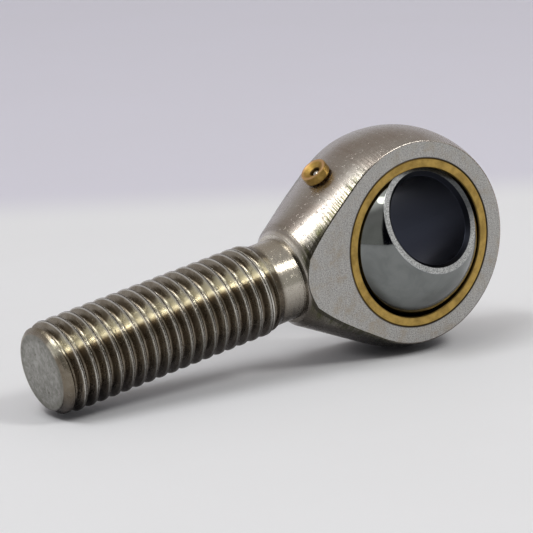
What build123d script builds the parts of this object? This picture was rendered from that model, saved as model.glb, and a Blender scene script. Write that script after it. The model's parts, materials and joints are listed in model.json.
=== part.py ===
from build123d import *

import os
from math import atan, cos, degrees, radians, sin, sqrt, tan

# Male spherical rod end, M12 right-hand thread, 12 mm bore, steel on bronze, with a grease nipple.
# Frame: the origin is the ball's centre, the shank points along -X, the head's bore lies along Y,
# and the nipple is on the +Z side. All lengths are millimetres.

# Driving dimensions
BORE_R = 6.0
BALL_R = 22.225 / 2
BALL_WIDTH = 16.8
BORE_CHAMFER = 0.5
HEAD_R = 14.65
HEAD_THICKNESS = 12.0
FLAT_ROUNDING = 0.2  # on the outer edges of the two flats
CENTRE_TO_TIP = 54.4
CONE_ANGLE = 31.0  # half angle of the cone between head and shank
THREAD_R = 6.0
THREAD_PITCH = 1.75

# The ball is drawn tilted in its seat: the bore axis leans from -Y towards +Z and +X.
TILT_UP = 22.53
TILT_FORWARD = 7.64

# Shank
NECK_R = 5.4  # the rolling blank, left bare beside the head
NECK_FROM = -21.4
NECK_TO = -18.05
NECK_STEP = 0.05
FULL_THREAD_TO = -22.9  # the crests fall away from here to the neck
SHOULDER_R = 5.9  # the shoulder climbs from this radius to the cone
SHOULDER_TO = -17.15
TIP_FACE_R = 4.5
TIP_ROUNDING = 1.25
LEAD_LENGTH = 0.9  # from the tip's rounding to the first full crest

# Thread groove, from the ISO triangle
CREST_FLAT = THREAD_PITCH / 8
ROOT_RADIUS = 0.25
THREAD_LEAD_IN = 2.214  # the groove's helix starts this far beyond the tip
FULL_TURNS = 18
RUNOUT_TURNS = 2.5
RUNOUT_CLIMB = 0.65
GROOVE_OVERSIZE = 0.12  # how far the cutter's profile stands out past the crests

# Race, swaged into the head
SEAT_R = 12.3
RACE_FACE_R = 11.15
SWAGE_DEPTH = 1.4
RACE_CLEARANCE = 0.03
RACE_MOUTH_R = 9.83
EDGE_BREAK = 0.12
SEAM_WIDTH = 0.16  # the race's rim stops short of the head's, which leaves a fine groove between them
SEAM_DEPTH = 0.14

# Grease grooves and the feed drilling. The ball's groove stays inside the race up to 25 degrees of tilt.
RACE_GROOVE_DEPTH = 0.45
RACE_GROOVE_WIDTH = 2.4
BALL_GROOVE_DEPTH = 0.35
BALL_GROOVE_WIDTH = 1.0
GREASE_GAP = 0.02
FEED_R = 0.6

# Grease nipple, measured along its own axis from the surface of the cone
NIPPLE_X = -9.71
NIPPLE_HEAD_R = 1.82
NIPPLE_HEIGHT = 1.5
NIPPLE_SHANK_R = 1.3
NIPPLE_SHANK_LENGTH = 2.0
NIPPLE_HOLE_DEPTH = 2.05
UNDERCUT_HEIGHT = 0.18
FUNNEL_R = 1.58
FUNNEL_FLOOR = 0.95
INLET_R = 0.62
INLET_FLOOR = 0.58
CHAMBER_R = 0.82
CHAMBER_FLOOR = -1.75
OUTLET_R = 0.45
CHECK_BALL_R = 0.75
CHECK_BALL_GAP = 0.01
SPRING_WIRE_R = 0.075
SPRING_COIL_R = 0.55
SPRING_TURNS = 3

# Places worked out from those
FACE_Y = HEAD_THICKNESS / 2
APEX_X = -HEAD_R / sin(radians(CONE_ANGLE))
TANGENT_X = -HEAD_R * sin(radians(CONE_ANGLE))
TANGENT_R = HEAD_R * cos(radians(CONE_ANGLE))
BAR_END = APEX_X + THREAD_R / tan(radians(CONE_ANGLE))
RACE_R = BALL_R + RACE_CLEARANCE
SEAM_FOOT_R = RACE_FACE_R + (SEAT_R - RACE_FACE_R) * SEAM_DEPTH / SWAGE_DEPTH
BALL_FACE_R = sqrt(BALL_R**2 - (BALL_WIDTH / 2) ** 2)
ROUNDING_TO = -CENTRE_TO_TIP + TIP_ROUNDING
CREST_FROM = ROUNDING_TO + LEAD_LENGTH
THREAD_START = -CENTRE_TO_TIP - THREAD_LEAD_IN
RUNOUT_START = THREAD_START + FULL_TURNS * THREAD_PITCH
RUNOUT_ANGLE = degrees(atan(RUNOUT_CLIMB / (RUNOUT_TURNS * THREAD_PITCH)))
FLANK_SINE, FLANK_COSINE = sin(radians(30)), cos(radians(30))
GROOVE_TOP_R = THREAD_R + GROOVE_OVERSIZE
GROOVE_HALF = (THREAD_PITCH - CREST_FLAT) / 2 + GROOVE_OVERSIZE * FLANK_SINE / FLANK_COSINE
ROOT_CENTRE_R = GROOVE_TOP_R - GROOVE_HALF * FLANK_COSINE / FLANK_SINE + ROOT_RADIUS / FLANK_SINE


def cone_r(x):
    """Radius of the head's cone at a distance x along the shank's axis."""
    return (x - APEX_X) * tan(radians(CONE_ANGLE))


NIPPLE_AXIS = Vector(-sin(radians(CONE_ANGLE)), 0, cos(radians(CONE_ANGLE)))
NIPPLE_FOOT = Vector(NIPPLE_X, 0, cone_r(NIPPLE_X))
BORE_AXIS = Vector(tan(radians(TILT_FORWARD)), -1, tan(radians(TILT_UP))).normalized()

# Planes: a profile drawn on any of these has its local y along the axis of revolution.
nipple_base = Plane(origin=NIPPLE_FOOT, x_dir=(0, 1, 0), z_dir=NIPPLE_AXIS)
nipple_profile = Plane(origin=NIPPLE_FOOT, x_dir=(0, 1, 0), z_dir=Vector(0, 1, 0).cross(NIPPLE_AXIS))
ball_side = Vector(0, 0, 1).cross(BORE_AXIS).normalized()
ball_profile = Plane(origin=(0, 0, 0), x_dir=ball_side, z_dir=ball_side.cross(BORE_AXIS))
nipple_line = Axis(NIPPLE_FOOT, NIPPLE_AXIS)
bore_line = Axis((0, 0, 0), BORE_AXIS)


# Thread groove's section: local x is the radius and local y runs along the shank.
with BuildSketch() as groove:
    with BuildLine():
        root = ThreePointArc(
            (ROOT_CENTRE_R - ROOT_RADIUS * FLANK_SINE, -ROOT_RADIUS * FLANK_COSINE),
            (ROOT_CENTRE_R - ROOT_RADIUS, 0),
            (ROOT_CENTRE_R - ROOT_RADIUS * FLANK_SINE, ROOT_RADIUS * FLANK_COSINE),
        )
        Polyline(root @ 1, (GROOVE_TOP_R, GROOVE_HALF), (GROOVE_TOP_R, -GROOVE_HALF), root @ 0)
    make_face()

# Housing: one steel forging. The shank starts as a plain bar, is threaded, then turned down at the
# tip and the neck.
with BuildPart() as housing:
    with BuildSketch(Plane.XZ):
        with BuildLine():
            Polyline(
                (HEAD_R, 0),
                (-CENTRE_TO_TIP, 0),
                (-CENTRE_TO_TIP, THREAD_R),
                (BAR_END, THREAD_R),
                (TANGENT_X, TANGENT_R),
            )
            CenterArc((0, 0), HEAD_R, 90 + CONE_ANGLE, -90 - CONE_ANGLE)
        make_face()
    revolve(axis=Axis.X)
    # Full thread
    with BuildLine(mode=Mode.PRIVATE) as full_helix:
        Helix(THREAD_PITCH, FULL_TURNS * THREAD_PITCH, THREAD_R, (THREAD_START, 0, 0), (1, 0, 0))
    with BuildSketch(Plane(origin=(THREAD_START, 0, 0), x_dir=(0, 0, 1), z_dir=(0, 1, 0))):
        add(groove.sketch)
    sweep(path=full_helix.line, is_frenet=True, mode=Mode.SUBTRACT)
    # Tip rounding
    with BuildSketch(Plane.XZ):
        with BuildLine():
            nose = CenterArc((ROUNDING_TO, TIP_FACE_R), TIP_ROUNDING, 90, 90)
            Polyline(
                nose @ 0,
                (CREST_FROM, THREAD_R),
                (CREST_FROM, THREAD_R + TIP_ROUNDING),
                (-CENTRE_TO_TIP - TIP_ROUNDING, THREAD_R + TIP_ROUNDING),
                (-CENTRE_TO_TIP - TIP_ROUNDING, TIP_FACE_R),
                nose @ 1,
            )
        make_face()
    revolve(axis=Axis.X, mode=Mode.SUBTRACT)
    # Falling crests, bare neck, the small step up from it and the shoulder
    with BuildSketch(Plane.XZ):
        with BuildLine():
            Polyline(
                (FULL_THREAD_TO, THREAD_R),
                (NECK_FROM, NECK_R),
                (NECK_TO, NECK_R),
                (NECK_TO + NECK_STEP, SHOULDER_R),
                (SHOULDER_TO, cone_r(SHOULDER_TO)),
                (FULL_THREAD_TO, cone_r(SHOULDER_TO)),
                close=True,
            )
        make_face()
    revolve(axis=Axis.X, mode=Mode.SUBTRACT)
    # Thread runout, climbing out of the neck
    with BuildLine(mode=Mode.PRIVATE) as runout_helix:
        Helix(
            THREAD_PITCH,
            RUNOUT_TURNS * THREAD_PITCH,
            THREAD_R,
            (RUNOUT_START, 0, 0),
            (1, 0, 0),
            RUNOUT_ANGLE,
        )
    with BuildSketch(Plane(origin=(RUNOUT_START, 0, 0), x_dir=(0, 0, 1), z_dir=(0, 1, 0))):
        add(groove.sketch)
    sweep(path=runout_helix.line, is_frenet=True, mode=Mode.SUBTRACT)
    # Two flats, cut back to the middle of the bare neck
    for side in (-1, 1):
        with Locations((HEAD_R, side * (FACE_Y + HEAD_R / 2), 0)):
            Box(
                HEAD_R - (NECK_FROM + NECK_TO) / 2,
                HEAD_R,
                2 * HEAD_R,
                align=(Align.MAX, Align.CENTER, Align.CENTER),
                mode=Mode.SUBTRACT,
            )
    flats = housing.faces().filter_by(Axis.Y)
    fillet(flats.edges().filter_by(lambda edge: edge.length > 1), FLAT_ROUNDING)
    # Race seat, closed over the race's bevelled edges at both faces
    with BuildSketch(Plane.XY):
        with BuildLine():
            Polyline(
                (0, FACE_Y),
                (RACE_FACE_R, FACE_Y),
                (SEAT_R, FACE_Y - SWAGE_DEPTH),
                (SEAT_R, -FACE_Y + SWAGE_DEPTH),
                (RACE_FACE_R, -FACE_Y),
                (0, -FACE_Y),
                close=True,
            )
        make_face()
    revolve(axis=Axis.Y, mode=Mode.SUBTRACT)
    # Nipple hole and the feed drilling below it
    with BuildSketch(nipple_base):
        Circle(NIPPLE_SHANK_R)
    extrude(amount=-NIPPLE_HOLE_DEPTH, mode=Mode.SUBTRACT)
    with BuildSketch(nipple_base):
        Circle(FEED_R)
    extrude(amount=-SEAT_R / 2, mode=Mode.SUBTRACT)

# Race: a bronze ring swaged in, with a spherical seat, a grease groove and a feed hole.
with BuildPart() as race:
    with BuildSketch(Plane.XY):
        with BuildLine():
            Polyline(
                (RACE_MOUTH_R, -FACE_Y),
                (RACE_FACE_R - SEAM_WIDTH, -FACE_Y),
                (SEAM_FOOT_R, -FACE_Y + SEAM_DEPTH),
                (SEAT_R, -FACE_Y + SWAGE_DEPTH),
                (SEAT_R, FACE_Y - SWAGE_DEPTH),
                (SEAM_FOOT_R, FACE_Y - SEAM_DEPTH),
                (RACE_FACE_R - SEAM_WIDTH, FACE_Y),
                (RACE_MOUTH_R, FACE_Y),
                close=True,
            )
        make_face()
    revolve(axis=Axis.Y)
    Sphere(RACE_R, mode=Mode.SUBTRACT)
    with BuildSketch(Plane.XY):
        with Locations((RACE_R, 0)):
            Rectangle(2 * RACE_GROOVE_DEPTH, RACE_GROOVE_WIDTH)
    revolve(axis=Axis.Y, mode=Mode.SUBTRACT)
    with BuildSketch(nipple_base.offset(-NIPPLE_SHANK_LENGTH)):
        Circle(FEED_R)
    extrude(amount=-SEAT_R / 3, mode=Mode.SUBTRACT)
    mouth_edges = race.edges().filter_by(GeomType.CIRCLE).filter_by(
        lambda edge: abs(edge.radius - RACE_MOUTH_R) < 0.01 and abs(edge.center().Y) > FACE_Y - 0.01
    )
    chamfer(mouth_edges, EDGE_BREAK)

# Ball: chromed steel, truncated by its two faces, with a shallow grease groove round its equator.
with BuildPart() as ball:
    with BuildSketch(ball_profile):
        with BuildLine():
            Polyline(
                (BALL_FACE_R, BALL_WIDTH / 2),
                (BORE_R + BORE_CHAMFER, BALL_WIDTH / 2),
                (BORE_R, BALL_WIDTH / 2 - BORE_CHAMFER),
                (BORE_R, -BALL_WIDTH / 2 + BORE_CHAMFER),
                (BORE_R + BORE_CHAMFER, -BALL_WIDTH / 2),
                (BALL_FACE_R, -BALL_WIDTH / 2),
            )
            ThreePointArc((BALL_FACE_R, -BALL_WIDTH / 2), (BALL_R, 0), (BALL_FACE_R, BALL_WIDTH / 2))
        make_face()
    revolve(axis=bore_line)
    with BuildSketch(ball_profile):
        with Locations((BALL_R, 0)):
            Rectangle(2 * BALL_GROOVE_DEPTH, BALL_GROOVE_WIDTH)
    revolve(axis=bore_line, mode=Mode.SUBTRACT)

# Grease rings: each fills one of the two grooves, clear of the ball's sphere.
with BuildPart() as race_grease:
    with BuildSketch(Plane.XY):
        with Locations((RACE_R + RACE_GROOVE_DEPTH / 2, 0)):
            Rectangle(RACE_GROOVE_DEPTH - 2 * GREASE_GAP, RACE_GROOVE_WIDTH - 2 * GREASE_GAP)
    revolve(axis=Axis.Y)

with BuildPart() as ball_grease:
    with BuildSketch(ball_profile):
        with Locations((BALL_R - BALL_GROOVE_DEPTH / 2, 0)):
            Rectangle(BALL_GROOVE_DEPTH - 2 * GREASE_GAP, BALL_GROOVE_WIDTH - 2 * GREASE_GAP)
    revolve(axis=bore_line)

# Grease nipple body: a turned brass cup on a plain shank, bored for the check ball and its spring.
with BuildPart() as nipple_body:
    with BuildSketch(nipple_profile):
        with BuildLine():
            Polyline(
                (OUTLET_R, -NIPPLE_SHANK_LENGTH),
                (NIPPLE_SHANK_R, -NIPPLE_SHANK_LENGTH),
                (NIPPLE_SHANK_R, UNDERCUT_HEIGHT),
                (NIPPLE_HEAD_R - EDGE_BREAK, UNDERCUT_HEIGHT),
                (NIPPLE_HEAD_R, UNDERCUT_HEIGHT + EDGE_BREAK),
                (NIPPLE_HEAD_R, NIPPLE_HEIGHT - EDGE_BREAK),
                (NIPPLE_HEAD_R - EDGE_BREAK, NIPPLE_HEIGHT),
                (FUNNEL_R, NIPPLE_HEIGHT),
                (INLET_R, FUNNEL_FLOOR),
                (INLET_R, INLET_FLOOR),
                (CHAMBER_R, INLET_FLOOR),
                (CHAMBER_R, CHAMBER_FLOOR),
                (OUTLET_R, CHAMBER_FLOOR),
                close=True,
            )
        make_face()
    revolve(axis=nipple_line)

# Check ball: pressed up against the inlet's edge by the spring below it
check_ball_height = INLET_FLOOR - sqrt(CHECK_BALL_R**2 - INLET_R**2) - CHECK_BALL_GAP
with BuildPart() as nipple_ball:
    with Locations(NIPPLE_FOOT + NIPPLE_AXIS * check_ball_height):
        Sphere(CHECK_BALL_R)

# Check spring: a compression spring between the chamber's floor and the ball
spring_floor = CHAMBER_FLOOR + SPRING_WIRE_R + CHECK_BALL_GAP
spring_reach = sqrt((CHECK_BALL_R + SPRING_WIRE_R) ** 2 - SPRING_COIL_R**2)
spring_height = check_ball_height - spring_reach - CHECK_BALL_GAP - spring_floor
spring_start = NIPPLE_FOOT + NIPPLE_AXIS * spring_floor
with BuildPart() as nipple_spring:
    with BuildLine() as coil:
        Helix(spring_height / SPRING_TURNS, spring_height, SPRING_COIL_R, spring_start, NIPPLE_AXIS)
    with BuildSketch(Plane(origin=coil.line @ 0, z_dir=coil.line % 0)):
        Circle(SPRING_WIRE_R)
    sweep(path=coil.line, is_frenet=True)

os.makedirs("parts", exist_ok=True)
housing.part.label = "housing"
export_step(housing.part, "parts/housing.step")
race.part.label = "race"
export_step(race.part, "parts/race.step")
ball.part.label = "ball"
export_step(ball.part, "parts/ball.step")
race_grease.part.label = "race_grease"
export_step(race_grease.part, "parts/race_grease.step")
ball_grease.part.label = "ball_grease"
export_step(ball_grease.part, "parts/ball_grease.step")
nipple_body.part.label = "nipple_body"
export_step(nipple_body.part, "parts/nipple_body.step")
nipple_ball.part.label = "nipple_ball"
export_step(nipple_ball.part, "parts/nipple_ball.step")
nipple_spring.part.label = "nipple_spring"
export_step(nipple_spring.part, "parts/nipple_spring.step")
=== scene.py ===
"""A male rod end lying on white paper: its finishes, the paper, the lights and the camera."""

import json
import math

import bpy
from mathutils import Matrix, Vector


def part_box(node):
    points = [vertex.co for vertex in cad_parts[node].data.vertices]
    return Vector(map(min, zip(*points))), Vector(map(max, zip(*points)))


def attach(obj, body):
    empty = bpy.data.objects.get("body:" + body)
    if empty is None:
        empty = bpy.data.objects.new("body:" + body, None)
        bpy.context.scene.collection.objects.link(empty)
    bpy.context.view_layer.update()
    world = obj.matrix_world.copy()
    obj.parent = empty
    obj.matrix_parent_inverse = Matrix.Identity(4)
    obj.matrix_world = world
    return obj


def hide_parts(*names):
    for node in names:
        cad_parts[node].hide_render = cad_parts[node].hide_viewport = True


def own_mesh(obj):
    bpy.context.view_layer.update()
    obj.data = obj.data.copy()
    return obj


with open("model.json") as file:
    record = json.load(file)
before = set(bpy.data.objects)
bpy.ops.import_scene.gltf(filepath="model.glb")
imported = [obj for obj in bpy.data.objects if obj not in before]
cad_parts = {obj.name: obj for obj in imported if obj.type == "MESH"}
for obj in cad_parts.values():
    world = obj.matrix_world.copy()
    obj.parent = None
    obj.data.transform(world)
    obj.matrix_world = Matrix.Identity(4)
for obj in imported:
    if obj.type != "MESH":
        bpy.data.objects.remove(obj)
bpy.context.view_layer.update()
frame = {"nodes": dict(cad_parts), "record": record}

mounts = {mount["name"]: mount for mount in frame["record"]["mounts"]}

# Where things are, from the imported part. Materials work in millimetres, objects in metres.
MM = 1000.0
BORE_AXIS = Vector(mounts["ball_bore"]["axis"]).normalized()
BORE_R = mounts["ball_bore"]["dims"]["r_mm"]
NIPPLE_AXIS = Vector(mounts["grease_inlet"]["axis"]).normalized()
NIPPLE_TOP = Vector(mounts["grease_inlet"]["pos_m"]) * MM
head_low, head_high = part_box("housing")
FLAT_Y = head_high.y * MM
TIP_X = head_low.x * MM
THREAD_R = mounts["shank_thread"]["dims"]["r_mm"]
THREAD_END = TIP_X + mounts["shank_thread"]["dims"]["length_mm"]

# More of the part's sizes, as they are in CAD, in millimetres
THREAD_PITCH = 1.75
THREAD_PHASE = 0.265  # of a pitch, from a groove's middle on the +Z side to the tip
TIP_FACE_R = 4.5
SHOULDER_X = -17.15  # the cone begins here
NECK_X = -18.05  # the bare neck ends and the shoulder rises here
RACE_FACE_R = 11.15
RACE_MOUTH_R = 9.83
BALL_HALF_WIDTH = 8.4
BORE_EDGE_R = 6.5  # outside of the chamfer at the ball's bore
FUNNEL_R = 1.58
INLET_R = 0.62
SPRING_WIRE_R = 0.075
SPRING_TURNS = 3


# ---------------------------------------------------------------- node helpers
class Nodes:
    """A node tree that grows by one call at a time; every call returns the new node's output."""

    def __init__(self, tree):
        self.tree = tree
        self.tree.nodes.clear()

    def fill(self, socket, value):
        """Link a socket to another, or give it a fixed value; a colour gets its alpha."""
        if isinstance(value, bpy.types.NodeSocket):
            self.tree.links.new(value, socket)
        elif isinstance(value, tuple) and socket.type == "RGBA":
            socket.default_value = (*value, 1.0)
        else:
            socket.default_value = value

    def node(self, kind, inputs, **settings):
        made = self.tree.nodes.new(kind)
        for key, value in settings.items():
            setattr(made, key, value)
        for key, value in inputs.items():
            self.fill(made.inputs[key], value)
        return made

    def math(self, operation, *values):
        return self.node("ShaderNodeMath", dict(enumerate(values)), operation=operation).outputs[0]

    def times(self, first, *others):
        """The product of several numbers."""
        for other in others:
            first = self.math("MULTIPLY", first, other)
        return first

    def dot(self, first, second):
        inputs = {0: first, 1: tuple(second)}
        return self.node("ShaderNodeVectorMath", inputs, operation="DOT_PRODUCT").outputs["Value"]

    def span(self, value, low, high, to_low=0.0, to_high=1.0):
        """value, stretched smoothly so that low becomes to_low and high becomes to_high."""
        inputs = {
            "Value": value,
            "From Min": low,
            "From Max": high,
            "To Min": to_low,
            "To Max": to_high,
        }
        return self.node("ShaderNodeMapRange", inputs, interpolation_type="SMOOTHSTEP").outputs[0]

    def mix(self, share, first, second):
        """A colour: first where share is 0, second where it is 1."""
        made = self.node("ShaderNodeMix", {}, data_type="RGBA")
        self.fill(made.inputs[0], share)
        self.fill(made.inputs[6], first)
        self.fill(made.inputs[7], second)
        return made.outputs[2]


class Shader(Nodes):
    """A material. Its point, x, y and z are the place on the part at rest, in millimetres."""

    def __init__(self, name):
        self.material = bpy.data.materials.new(name)
        self.material.use_nodes = True
        super().__init__(self.material.node_tree)
        self.output = self.tree.nodes.new("ShaderNodeOutputMaterial")
        point = self.tree.nodes.new("ShaderNodeTexCoord").outputs["Object"]
        self.point = self.scaled(point, MM)
        self.x, self.y, self.z = self.node("ShaderNodeSeparateXYZ", {"Vector": self.point}).outputs

    def scaled(self, vector, scale):
        inputs = {0: vector, "Scale": scale}
        return self.node("ShaderNodeVectorMath", inputs, operation="SCALE").outputs["Vector"]

    def length(self, vector):
        return self.node("ShaderNodeVectorMath", {0: vector}, operation="LENGTH").outputs["Value"]

    def pair(self, **parts):
        """A vector from some of its parts, such as X=a, Z=b."""
        return self.node("ShaderNodeCombineXYZ", parts).outputs[0]

    def turned(self, vector, kind, start, end):
        """A vector in another space; kind is VECTOR or NORMAL."""
        settings = {"vector_type": kind, "convert_from": start, "convert_to": end}
        return self.node("ShaderNodeVectorTransform", {"Vector": vector}, **settings).outputs[0]

    def axis_distance(self, axis, origin=(0, 0, 0)):
        """Height along an axis, and distance from it, both in millimetres."""
        inputs = {0: self.point, 1: tuple(origin)}
        away = self.node("ShaderNodeVectorMath", inputs, operation="SUBTRACT").outputs["Vector"]
        height = self.dot(away, axis)
        inputs = {0: away, 1: self.scaled(tuple(axis), height)}
        radial = self.node("ShaderNodeVectorMath", inputs, operation="SUBTRACT").outputs["Vector"]
        return height, self.length(radial)

    def noise(self, scale, detail, rough, where=None, stretch=(1, 1, 1), warp=0.0):
        inputs = {"Vector": where or self.point, "Scale": stretch}
        place = self.node("ShaderNodeMapping", inputs).outputs[0]
        inputs = {
            "Vector": place,
            "Scale": scale,
            "Detail": detail,
            "Roughness": rough,
            "Distortion": warp,
        }
        return self.node("ShaderNodeTexNoise", inputs).outputs["Fac"]

    def blend(self, share, first, second):
        """A number: first where share is 0, second where it is 1."""
        inputs = {"Factor": share, "A": first, "B": second}
        return self.node("ShaderNodeMix", inputs).outputs[0]

    def bump(self, height, distance, strength, under=None):
        """A normal bent by a height of up to distance millimetres, on top of another normal."""
        inputs = {"Height": height, "Distance": distance / MM, "Strength": strength}
        if under is not None:
            inputs["Normal"] = under
        return self.node("ShaderNodeBump", inputs).outputs[0]

    def surface(self, color, roughness, normal, metallic=1.0, **more):
        inputs = {
            "Base Color": color,
            "Roughness": roughness,
            "Metallic": metallic,
            "Normal": normal,
            **more,
        }
        made = self.node("ShaderNodeBsdfPrincipled", inputs)
        self.tree.links.new(made.outputs[0], self.output.inputs[0])
        return self.material


# ---------------------------------------------------------------- housing
def steel_shader():
    """A shader with the measures and patterns that the housing's surfaces share."""
    s = Shader("housing_nickel_steel")
    world_normal = s.tree.nodes.new("ShaderNodeNewGeometry").outputs["Normal"]
    normal = s.turned(world_normal, "NORMAL", "WORLD", "OBJECT")
    facing = s.node("ShaderNodeSeparateXYZ", {"Vector": normal}).outputs
    s.facing_x = facing["X"]
    s.facing_y = s.math("ABSOLUTE", facing["Y"])
    s.out_y = s.math("ABSOLUTE", s.y)
    s.radius = s.length(s.pair(Y=s.y, Z=s.z))
    # how far round the shank a place is, as a part of a turn from the top towards the camera
    s.around = s.math("DIVIDE", s.math("ARCTAN2", s.math("MULTIPLY", s.y, -1.0), s.z), math.tau)
    s.blotch = s.noise(0.55, 4, 0.6)
    s.grain = s.noise(6.5, 3, 0.7)
    s.turning = s.noise(1.0, 2, 0.6, stretch=(7.0, 0.10, 0.10))
    return s


def dirt_and_shade_lines(s):
    """Where dirt and painted shade lie: a painted dark reflection along the flats' rounded edges, dirt at
    their roots by the shoulder, painted shade in the neck's corner.
    """
    # painted dark reflection along the flats' rounded edges, on the shank side
    edge = s.times(s.span(s.facing_y, 0.72, 0.84), s.span(s.facing_y, 0.985, 0.95))
    edge = s.times(edge, s.span(s.x, -3.0, -8.0), s.span(s.out_y, FLAT_Y - 0.25, FLAT_Y - 0.15))
    root = s.times(s.span(s.out_y, FLAT_Y - 0.5, FLAT_Y - 0.3), s.span(s.x, -11.5, -14.5))
    root = s.times(root, s.span(s.x, NECK_X + 0.15, NECK_X + 0.45))
    # painted shade in the neck's concave corner, on the side towards the camera
    corner = s.math("ABSOLUTE", s.math("SUBTRACT", s.x, NECK_X + 0.02))
    corner = s.times(s.span(corner, 0.15, 0.07), s.span(s.z, 4.6, 3.6), s.span(s.z, -0.5, 1.0))
    return s.math("MAXIMUM", s.math("MAXIMUM", edge, root), corner)


def head_color(s):
    """Warm grey plating: browner at the far end, painted shade underneath and under the neck, a painted
    highlight on the shoulder's foot, and dark streaks by the flats.
    """
    clouds = s.noise(0.16, 3, 0.55, warp=0.5)
    color = s.mix(s.span(clouds, 0.35, 0.7), (0.50, 0.47, 0.44), (0.40, 0.345, 0.31))
    color = s.mix(s.span(s.x, 4.0, 13.0, 0.0, 0.55), color, (0.40, 0.30, 0.24))
    color = s.mix(s.span(s.turning, 0.3, 0.8, 0.0, 0.25), color, (0.62, 0.60, 0.57))
    # painted shade on the head's underside
    color = s.mix(s.span(s.z, -4.5, -8.0, 0.0, 0.85), color, (0.13, 0.115, 0.10))
    # shoulder and neck tints, a painted highlight on the upper side of the shoulder's foot, and painted
    # shade under the neck
    near_shoulder = s.span(s.x, SHOULDER_X + 0.65, SHOULDER_X + 0.25, 0.0, 0.7)
    color = s.mix(near_shoulder, color, (0.38, 0.345, 0.30))
    on_neck = s.span(s.x, NECK_X + 0.05, NECK_X - 0.05, 0.0, 0.9)
    color = s.mix(on_neck, color, (0.55, 0.51, 0.44))
    # painted highlight on the upper side of the shoulder's foot
    foot = s.times(
        s.span(s.x, NECK_X + 0.55, NECK_X + 0.35),
        s.span(s.x, NECK_X - 0.05, NECK_X + 0.05),
        s.span(s.z, 1.0, 3.5),
    )
    color = s.mix(s.times(foot, 0.8), color, (0.68, 0.64, 0.58))
    # painted shade on the lower side of the neck
    under_neck_shade = s.times(s.span(s.x, SHOULDER_X + 3.15, SHOULDER_X + 0.65), s.span(s.z, 1.5, -3.5))
    color = s.mix(s.times(under_neck_shade, 0.85), color, (0.10, 0.085, 0.07))
    # streaks along the flats' edges
    by_flat = s.times(s.span(s.out_y, FLAT_Y - 2.0, FLAT_Y - 0.3), s.span(s.x, -4.0, -9.0))
    by_flat = s.times(by_flat, s.span(s.x, NECK_X + 0.15, NECK_X + 0.45))
    streaks = s.span(s.turning, 0.42, 0.58, 0.3, 1.0)
    color = s.mix(s.times(by_flat, streaks), color, (0.09, 0.09, 0.045))
    return s.mix(s.times(dirt_and_shade_lines(s), 0.85), color, (0.05, 0.045, 0.035))


def flat_color(s):
    """Ground steel with fine scratches and brown stains, and a dark joint round the race."""
    scratches = s.noise(1.0, 3, 0.7, stretch=(5.0, 1.0, 0.4))
    color = s.mix(s.span(s.grain, 0.35, 0.65), (0.25, 0.245, 0.235), (0.58, 0.57, 0.555))
    color = s.mix(s.span(scratches, 0.45, 0.75, 0.0, 0.45), color, (0.66, 0.64, 0.60))
    color = s.mix(s.span(s.blotch, 0.45, 0.75, 0.0, 0.65), color, (0.38, 0.325, 0.25))
    from_bore = s.length(s.pair(X=s.x, Z=s.z))
    joint = s.span(from_bore, RACE_FACE_R + 0.17, RACE_FACE_R + 0.01, 0.0, 0.9)
    return s.mix(joint, color, (0.03, 0.02, 0.015))


def crest_seam(s, on_thread):
    """The fine, broken seam that rolling leaves along the middle of the thread's crest."""
    turns = s.math("DIVIDE", s.math("SUBTRACT", s.x, TIP_X), THREAD_PITCH)
    turns = s.math("ADD", s.math("SUBTRACT", turns, s.around), THREAD_PHASE)
    from_crest = s.math("ABSOLUTE", s.math("SUBTRACT", s.math("FRACT", turns), 0.5))
    on_crest = s.span(s.radius, THREAD_R - 0.3, THREAD_R - 0.2)
    seam = s.times(s.span(from_crest, 0.060, 0.040), on_crest)
    return s.times(seam, on_thread, s.span(s.grain, 0.25, 0.5))


def thread_color(s, seam, specks):
    """Brown flanks with stains, a painted highlight strip, pale crests, dirt and painted shade deep in the
    grooves, and painted shade on the underside.
    """
    flank_tone = s.mix(s.span(s.blotch, 0.35, 0.7), (0.33, 0.295, 0.235), (0.22, 0.185, 0.135))
    # darker on flanks that face the head, and darker past the strip on the side towards the camera
    flank_tone = s.mix(s.span(s.facing_x, 0.1, 0.4, 0.0, 0.6), flank_tone, (0.11, 0.08, 0.05))
    flank_tone = s.mix(s.span(s.around, 0.15, 0.19, 0.0, 0.4), flank_tone, (0.09, 0.07, 0.05))
    # painted highlight: a bright strip along the thread, where the fill light falls
    painted_highlight_strip = s.times(s.span(s.around, 0.080, 0.105), s.span(s.around, 0.165, 0.140))
    color = s.mix(painted_highlight_strip, flank_tone, (0.80, 0.76, 0.62))
    # dirt and painted shade deep in the grooves
    groove_dirt_and_shade = s.mix(0.3, color, (0.14, 0.11, 0.08))
    color = s.mix(s.span(s.radius, THREAD_R - 1.0, THREAD_R - 0.05), groove_dirt_and_shade, color)
    on_crest = s.span(s.radius, THREAD_R - 0.2, THREAD_R - 0.1)
    color = s.mix(on_crest, color, (0.60, 0.58, 0.53))
    # painted shade on the thread's underside
    color = s.mix(s.span(s.z, -0.5, -4.5, 0.0, 0.75), color, (0.05, 0.042, 0.042))
    color = s.mix(s.times(seam, 0.95), color, (0.04, 0.03, 0.02))
    return s.mix(specks, color, (0.05, 0.035, 0.025))


def tip_color(s, pits):
    """The cut end of the bar: mottled grey, darker towards its rim, with small pits."""
    mottle = s.noise(1.3, 4, 0.7, warp=0.6)
    color = s.mix(s.span(mottle, 0.32, 0.68), (0.20, 0.20, 0.175), (0.40, 0.39, 0.37))
    color = s.mix(s.span(s.grain, 0.3, 0.75, 0.0, 0.5), color, (0.30, 0.295, 0.27))
    near_rim = s.span(s.radius, TIP_FACE_R - 0.6, TIP_FACE_R, 0.0, 0.45)
    color = s.mix(near_rim, color, (0.14, 0.135, 0.11))
    return s.mix(pits, color, (0.16, 0.15, 0.13))


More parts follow.
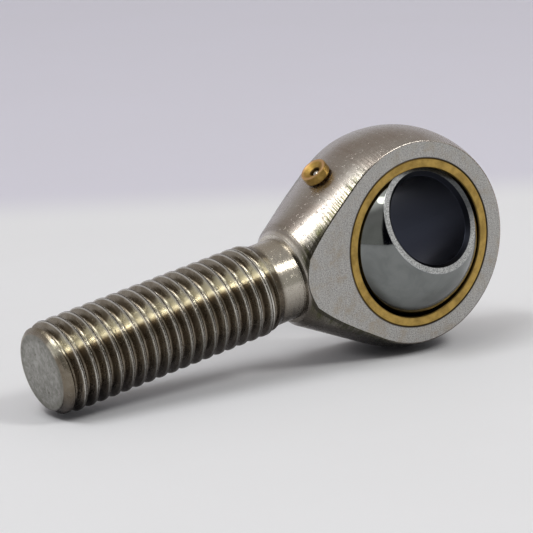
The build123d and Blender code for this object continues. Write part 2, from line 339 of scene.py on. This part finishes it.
def housing_steel():
    """Nickel-plated steel: satin turned head, ground flats, a thread with stains, pitted tip; painted
    highlights and shade on the head and thread.
    """
    s = steel_shader()
    on_flat = s.times(
        s.span(s.facing_y, 0.97, 0.995),
        s.span(s.out_y, FLAT_Y - 0.1, FLAT_Y - 0.02),
        s.span(s.x, THREAD_END, THREAD_END + 0.5),
    )
    on_thread = s.span(s.x, THREAD_END + 0.6, THREAD_END - 0.4)
    on_tip = s.span(s.x, TIP_X + 0.12, TIP_X + 0.02)
    off_flat = s.math("SUBTRACT", 1.0, on_flat)
    off_tip = s.math("SUBTRACT", 1.0, on_tip)
    seam = crest_seam(s, on_thread)
    specks = s.span(s.noise(1.6, 3, 0.6), 0.69, 0.76)
    pits = s.span(s.noise(1.7, 4, 0.65), 0.60, 0.68)
    glitter = s.noise(3.2, 2, 0.6)

    color = s.mix(on_thread, head_color(s), thread_color(s, seam, specks))
    color = s.mix(on_flat, color, flat_color(s))
    color = s.mix(on_tip, color, tip_color(s, pits))

    rough = s.span(glitter, 0.25, 0.75, 0.19, 0.31)
    rough = s.blend(on_thread, rough, s.span(s.blotch, 0.3, 0.7, 0.20, 0.34))
    rough = s.blend(on_flat, rough, s.span(s.grain, 0.3, 0.7, 0.40, 0.52))
    rough = s.blend(on_tip, rough, s.span(pits, 0.0, 1.0, 0.42, 0.6))

    normal = s.bump(s.times(s.turning, off_flat), 0.05, 0.8)
    normal = s.bump(glitter, 0.005, 0.6, normal)
    normal = s.bump(s.times(seam, -1.0), 0.03, 0.6, normal)
    normal = s.bump(s.grain, 0.004, 0.6, normal)
    normal = s.bump(s.times(s.math("MAXIMUM", pits, specks), -1.0), 0.03, 0.6, normal)

    # highlights stretch along the shank, across the turning marks
    stretch = s.times(off_flat, off_tip, 0.55)
    along = s.turned((1.0, 0.0, 0.0), "VECTOR", "OBJECT", "WORLD")
    return s.surface(color, rough, normal, Anisotropic=stretch, Tangent=along)


# ---------------------------------------------------------------- the other finishes
def race_bronze():
    """Plain bronze, turned about the head's bore, brown and dark at its two edges."""
    s = Shader("race_bronze")
    height, radius = s.axis_distance((0, 1, 0))
    rings = s.noise(7.0, 3, 0.7, where=s.pair(X=radius, Y=height))
    patina = s.noise(0.9, 4, 0.62)
    specks = s.span(s.noise(3.0, 3, 0.6), 0.64, 0.74)
    color = s.mix(s.span(patina, 0.3, 0.7), (0.46, 0.30, 0.078), (0.28, 0.175, 0.042))
    color = s.mix(s.span(rings, 0.3, 0.8, 0.0, 0.35), color, (0.66, 0.50, 0.20))
    color = s.mix(s.times(specks, 0.55), color, (0.16, 0.09, 0.03))
    inner = s.span(radius, RACE_MOUTH_R + 0.19, RACE_MOUTH_R + 0.07, 0.0, 0.6)
    outer = s.span(radius, RACE_FACE_R - 0.25, RACE_FACE_R - 0.13, 0.0, 0.86)
    color = s.mix(s.math("MAXIMUM", inner, outer), color, (0.035, 0.02, 0.01))
    rough = s.span(patina, 0.3, 0.7, 0.3, 0.44)
    normal = s.bump(rings, 0.015, 0.5)
    normal = s.bump(s.noise(5.0, 3, 0.7), 0.01, 0.5, normal)
    return s.surface(color, rough, normal)


def ball_chrome():
    """Polished chrome sphere and satin end faces, with painted shade by the race's mouth, on the faces'
    upper right and in the bore and its chamfer.
    """
    s = Shader("ball_chrome")
    height, radius = s.axis_distance(BORE_AXIS)
    out = s.math("ABSOLUTE", height)
    in_bore = s.span(radius, BORE_EDGE_R + 0.03, BORE_EDGE_R)
    on_face = s.times(
        s.span(out, BALL_HALF_WIDTH - 0.06, BALL_HALF_WIDTH - 0.02),
        s.span(radius, BORE_EDGE_R, BORE_EDGE_R + 0.03),
    )
    smudge = s.noise(0.35, 4, 0.6, warp=0.8)
    sparkle = s.noise(5.5, 3, 0.75)
    color = s.mix(s.span(smudge, 0.35, 0.7), (0.21, 0.22, 0.215), (0.175, 0.185, 0.18))
    face = s.mix(s.span(sparkle, 0.35, 0.65), (0.24, 0.25, 0.26), (0.64, 0.65, 0.66))
    color = s.mix(on_face, color, face)
    # painted shade on the ball's lower side by the race's mouth
    low_side_shade = s.times(s.span(s.y, -FLAT_Y - 1.5, -FLAT_Y - 0.1), s.span(s.z, 1.0, -5.0))
    color = s.mix(s.times(low_side_shade, 0.75), color, (0.03, 0.027, 0.02))
    # painted shade on the upper right of the end face, under the race's lip
    upper_right_shade = s.times(s.span(s.x, -2.0, 2.0), s.span(s.z, -1.0, 3.0))
    color = s.mix(s.times(on_face, upper_right_shade, 0.85), color, (0.03, 0.035, 0.04))
    # painted shade in the bore, darker still on its chamfer
    on_chamfer = s.span(radius, BORE_R, BORE_R + 0.05)
    bore = s.mix(on_chamfer, (0.032, 0.036, 0.052), (0.010, 0.011, 0.015))
    color = s.mix(in_bore, color, bore)
    rough = s.span(smudge, 0.3, 0.75, 0.03, 0.09)
    rough = s.blend(on_face, rough, 0.42)
    rough = s.blend(in_bore, rough, 0.38)
    return s.surface(color, rough, s.bump(s.times(sparkle, on_face), 0.02, 0.6))


def nipple_brass():
    """Turned brass with a coppery lip, a dull funnel, and painted shade round its hole and under its head.
    """
    s = Shader("nipple_brass")
    height, radius = s.axis_distance(NIPPLE_AXIS, NIPPLE_TOP)
    rings = s.noise(5.0, 3, 0.7, where=s.pair(X=radius, Y=height))
    patina = s.noise(1.4, 4, 0.6)
    color = s.mix(s.span(patina, 0.3, 0.7), (0.50, 0.33, 0.095), (0.34, 0.21, 0.055))
    # painted shade round the hole's mouth
    hole_shade = s.span(radius, INLET_R + 0.18, INLET_R + 0.06, 0.0, 0.9)
    color = s.mix(hole_shade, color, (0.04, 0.022, 0.01))
    color = s.mix(s.span(height, -0.16, -0.02, 0.0, 0.6), color, (0.72, 0.44, 0.25))
    # painted shade under the nipple's head
    color = s.mix(s.span(height, -1.05, -1.4, 0.0, 0.8), color, (0.12, 0.06, 0.025))
    outside_rough = s.span(patina, 0.3, 0.7, 0.3, 0.45)
    rough = s.span(radius, FUNNEL_R + 0.02, FUNNEL_R + 0.17, 0.52, outside_rough)
    return s.surface(color, rough, s.bump(rings, 0.02, 0.5))


def nipple_steel():
    """Hard polished steel with a film of grease."""
    s = Shader("nipple_steel")
    film = s.noise(1.8, 3, 0.6)
    color = s.mix(s.span(film, 0.4, 0.7), (0.55, 0.55, 0.54), (0.36, 0.32, 0.24))
    return s.surface(color, s.span(film, 0.3, 0.7, 0.08, 0.25), s.bump(film, 0.01, 0.3))


def grease():
    """Amber grease, slightly stirred."""
    s = Shader("grease_amber")
    swirl = s.noise(0.8, 4, 0.6, warp=1.5)
    color = s.mix(s.span(swirl, 0.35, 0.65), (0.50, 0.33, 0.10), (0.30, 0.19, 0.05))
    rough = s.span(swirl, 0.3, 0.7, 0.12, 0.3)
    return s.surface(color, rough, s.bump(swirl, 0.05, 0.5), metallic=0.0)


finishes = {
    "housing": housing_steel,
    "race": race_bronze,
    "ball": ball_chrome,
    "race_grease": grease,
    "ball_grease": grease,
    "nipple_body": nipple_brass,
    "nipple_ball": nipple_steel,
    "nipple_spring": nipple_steel,
}
materials = {finish: finish() for finish in dict.fromkeys(finishes.values())}
for node_name, finish in finishes.items():
    frame["nodes"][node_name].data.materials[0] = materials[finish]


# ---------------------------------------------------------------- check spring
def coil_tube(foot, rise, coil_r):
    """Points and faces of a wire coiled up NIPPLE_AXIS from foot, in millimetres."""
    steps = 36 * SPRING_TURNS
    corners = 12
    side = Vector((0.0, 1.0, 0.0))
    other = NIPPLE_AXIS.cross(side)
    points = []
    for step in range(steps + 1):
        angle = math.tau * SPRING_TURNS * step / steps
        out = side * math.cos(angle) + other * math.sin(angle)
        middle = foot + NIPPLE_AXIS * (rise * step / steps) + out * coil_r
        for corner in range(corners):
            tilt = math.tau * corner / corners
            spoke = out * math.cos(tilt) + NIPPLE_AXIS * math.sin(tilt)
            points.append(middle + spoke * SPRING_WIRE_R)
    last = steps * corners
    faces = [tuple(range(corners)), tuple(reversed(range(last, last + corners)))]
    for start in range(0, last, corners):
        for corner in range(corners):
            here = start + corner
            beside = start + (corner + 1) % corners
            faces.append((here, here + corners, beside + corners, beside))
    return points, faces


def check_spring():
    """The nipple's spring as a mesh, where the CAD spring lies."""
    cad_points = [v.co * MM - NIPPLE_TOP for v in frame["nodes"]["nipple_spring"].data.vertices]
    heights = [p.dot(NIPPLE_AXIS) for p in cad_points]
    reach = max((p - NIPPLE_AXIS * h).length for p, h in zip(cad_points, heights))
    low, high = min(heights), max(heights)
    foot = NIPPLE_TOP + NIPPLE_AXIS * (low + SPRING_WIRE_R)
    points, faces = coil_tube(foot, high - low - 2.0 * SPRING_WIRE_R, reach - SPRING_WIRE_R)
    mesh = bpy.data.meshes.new("check_spring")
    mesh.from_pydata([p / MM for p in points], [], faces)
    mesh.materials.append(materials[nipple_steel])
    mesh.shade_smooth()
    spring = bpy.data.objects.new("check_spring", mesh)
    bpy.context.scene.collection.objects.link(spring)
    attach(spring, "housing")
    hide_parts("nipple_spring")
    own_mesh(spring)


check_spring()

# ---------------------------------------------------------------- paper
FLOOR_LEAN = math.radians(9.44)  # the rod end lies on its tip and the bottom of its head
floor_normal = Vector((math.sin(FLOOR_LEAN), 0.0, math.cos(FLOOR_LEAN)))
floor_point = Vector((TIP_X, 0.0, -THREAD_R)) / MM
FLOOR_REACH = 4.0
FOLD_NORMAL = Vector((0.52, 0.85, 0.0)).normalized()
FOLD_AT = 101.0
CONTACT_SHADOW_REACH = 2.5 / MM


def paper():
    """Matte white paper, with a lavender tint and painted shade past a soft line behind the object where
    the paper would bend up, and a painted contact shadow where the object touches.
    """
    s = Shader("table_paper")
    fibre = s.noise(0.02, 4, 0.6)
    # lavender tint and painted shade past a line behind the object, in place of the paper's upward bend
    past = s.span(s.dot(s.point, FOLD_NORMAL), FOLD_AT - 14.0, FOLD_AT + 14.0)
    color = s.mix(past, (0.82, 0.835, 0.885), (0.69, 0.685, 0.80))
    color = s.mix(s.span(fibre, 0.3, 0.7, 0.0, 0.05), color, (0.6, 0.6, 0.6))
    # painted contact shadow, from ambient occlusion, where the object touches
    occlusion = s.node("ShaderNodeAmbientOcclusion", {"Distance": CONTACT_SHADOW_REACH}, samples=8)
    contact_shadow = s.span(occlusion.outputs["AO"], 0.1, 0.8, 0.7, 0.0)
    color = s.mix(contact_shadow, color, (0.06, 0.06, 0.07))
    return s.surface(color, 0.7, s.bump(s.noise(1.2, 3, 0.6), 0.02, 0.3), metallic=0.0)


def make_floor():
    across = floor_normal.cross(Vector((1.0, 0.0, 0.0))).normalized()
    along = across.cross(floor_normal)
    signs = ((-1, -1), (1, -1), (1, 1), (-1, 1))
    corners = [floor_point + (along * a + across * b) * FLOOR_REACH for a, b in signs]
    mesh = bpy.data.meshes.new("floor")
    mesh.from_pydata(corners, [], [(0, 1, 2, 3)])
    mesh.materials.append(paper())
    floor = bpy.data.objects.new("floor", mesh)
    bpy.context.scene.collection.objects.link(floor)


make_floor()

# ---------------------------------------------------------------- lights
LOOK_AT = Vector((-0.019946, 0.0, 0.002321))
KEY_FROM = Vector((-0.30, 0.05, 0.95)).normalized()
FILL_FROM = Vector((0.48, -0.57, 0.66)).normalized()
LAMP_FROM = Vector((-0.29, -0.24, 0.93)).normalized()


def softbox(name, direction, distance, size, power, color):
    """An area light, distance metres away, that shines at LOOK_AT; its second side lies along the bore."""
    light = bpy.data.lights.new(name, "AREA")
    light.shape = "RECTANGLE"
    light.size, light.size_y = size
    light.energy = power
    light.color = color
    holder = bpy.data.objects.new(name, light)
    side = Vector((0.0, 1.0, 0.0)).cross(direction).normalized()
    axes = Matrix((side, direction.cross(side), direction)).transposed()
    holder.matrix_world = Matrix.Translation(LOOK_AT + direction * distance) @ axes.to_4x4()
    holder.visible_camera = False
    bpy.context.scene.collection.objects.link(holder)


softbox(
    "key_overhead",
    direction=KEY_FROM,
    distance=0.8,
    size=(0.11, 0.32),
    power=1.25,
    color=(1.0, 0.99, 0.97),
)
softbox(
    "fill_right",
    direction=FILL_FROM,
    distance=0.9,
    size=(0.22, 0.24),
    power=2.2,
    color=(1.0, 0.98, 0.92),
)


def room():
    """What the polished surfaces mirror: a pale room, two lamps and the dark photographer."""
    world = bpy.data.worlds.new("studio")
    bpy.context.scene.world = world
    world.use_nodes = True
    n = Nodes(world.node_tree)
    direction = n.node("ShaderNodeTexCoord", {}).outputs["Generated"]
    x, y, z = n.node("ShaderNodeSeparateXYZ", {"Vector": direction}).outputs

    behind = n.span(y, -0.1, 0.5)
    low = n.mix(behind, (0.42, 0.42, 0.40), (0.60, 0.59, 0.62))
    high = n.mix(behind, (0.42, 0.41, 0.40), (0.40, 0.37, 0.34))
    sky = n.mix(n.span(n.dot(direction, floor_normal), 0.20, 0.60), low, high)
    sky = n.mix(n.span(n.dot(direction, KEY_FROM), 0.88, 0.985), sky, (1.5, 1.48, 1.42))
    sky = n.mix(n.span(n.dot(direction, LAMP_FROM), 0.9948, 0.9970), sky, (6.0, 6.0, 5.5))

    # the photographer stands left of the -Y axis, from just above the table to above the camera
    soft = 0.02
    left, right = math.radians(-48.0), math.radians(-34.0)
    foot, top = math.sin(math.radians(4.0)), math.sin(math.radians(66.0))
    turn = n.math("ARCTAN2", x, n.math("MULTIPLY", y, -1.0))
    figure = n.times(
        n.span(turn, left - soft, left + soft),
        n.span(turn, right + soft, right - soft),
        n.span(z, foot - soft, foot + soft),
        n.span(z, top + soft, top - soft),
    )
    sky = n.mix(figure, sky, (0.004, 0.004, 0.008))

    seen = n.node("ShaderNodeLightPath", {}).outputs["Is Camera Ray"]
    sky = n.mix(seen, sky, (0.60, 0.585, 0.66))
    background = n.node("ShaderNodeBackground", {"Color": sky, "Strength": 1.0})
    n.node("ShaderNodeOutputWorld", {"Surface": background.outputs[0]})


room()


# ---------------------------------------------------------------- camera
def make_camera(azimuth, elevation, roll, distance, lens):
    """A camera that looks at LOOK_AT from distance metres away, with a lens in millimetres.

    Azimuth 0 looks along +Y. Angles are in degrees.
    """
    azimuth, elevation, roll = (math.radians(a) for a in (azimuth, elevation, roll))
    level = math.cos(elevation)
    back = Vector((math.sin(azimuth) * level, -math.cos(azimuth) * level, math.sin(elevation)))
    right = Vector((0.0, 0.0, 1.0)).cross(back).normalized()
    up = back.cross(right)
    across = right * math.cos(roll) + up * math.sin(roll)
    above = up * math.cos(roll) - right * math.sin(roll)
    axes = Matrix((across, above, back)).transposed()
    data = bpy.data.cameras.new("camera")
    data.sensor_width = 36.0
    data.lens = lens
    data.clip_start = 0.01
    data.clip_end = 20.0
    camera = bpy.data.objects.new("camera", data)
    bpy.context.scene.collection.objects.link(camera)
    camera.matrix_world = Matrix.Translation(LOOK_AT + back * distance) @ axes.to_4x4()
    bpy.context.scene.camera = camera


make_camera(azimuth=-31.377, elevation=17.976, roll=-10.481, distance=0.36909, lens=194.88)
bpy.context.scene.view_settings.view_transform = "Standard"
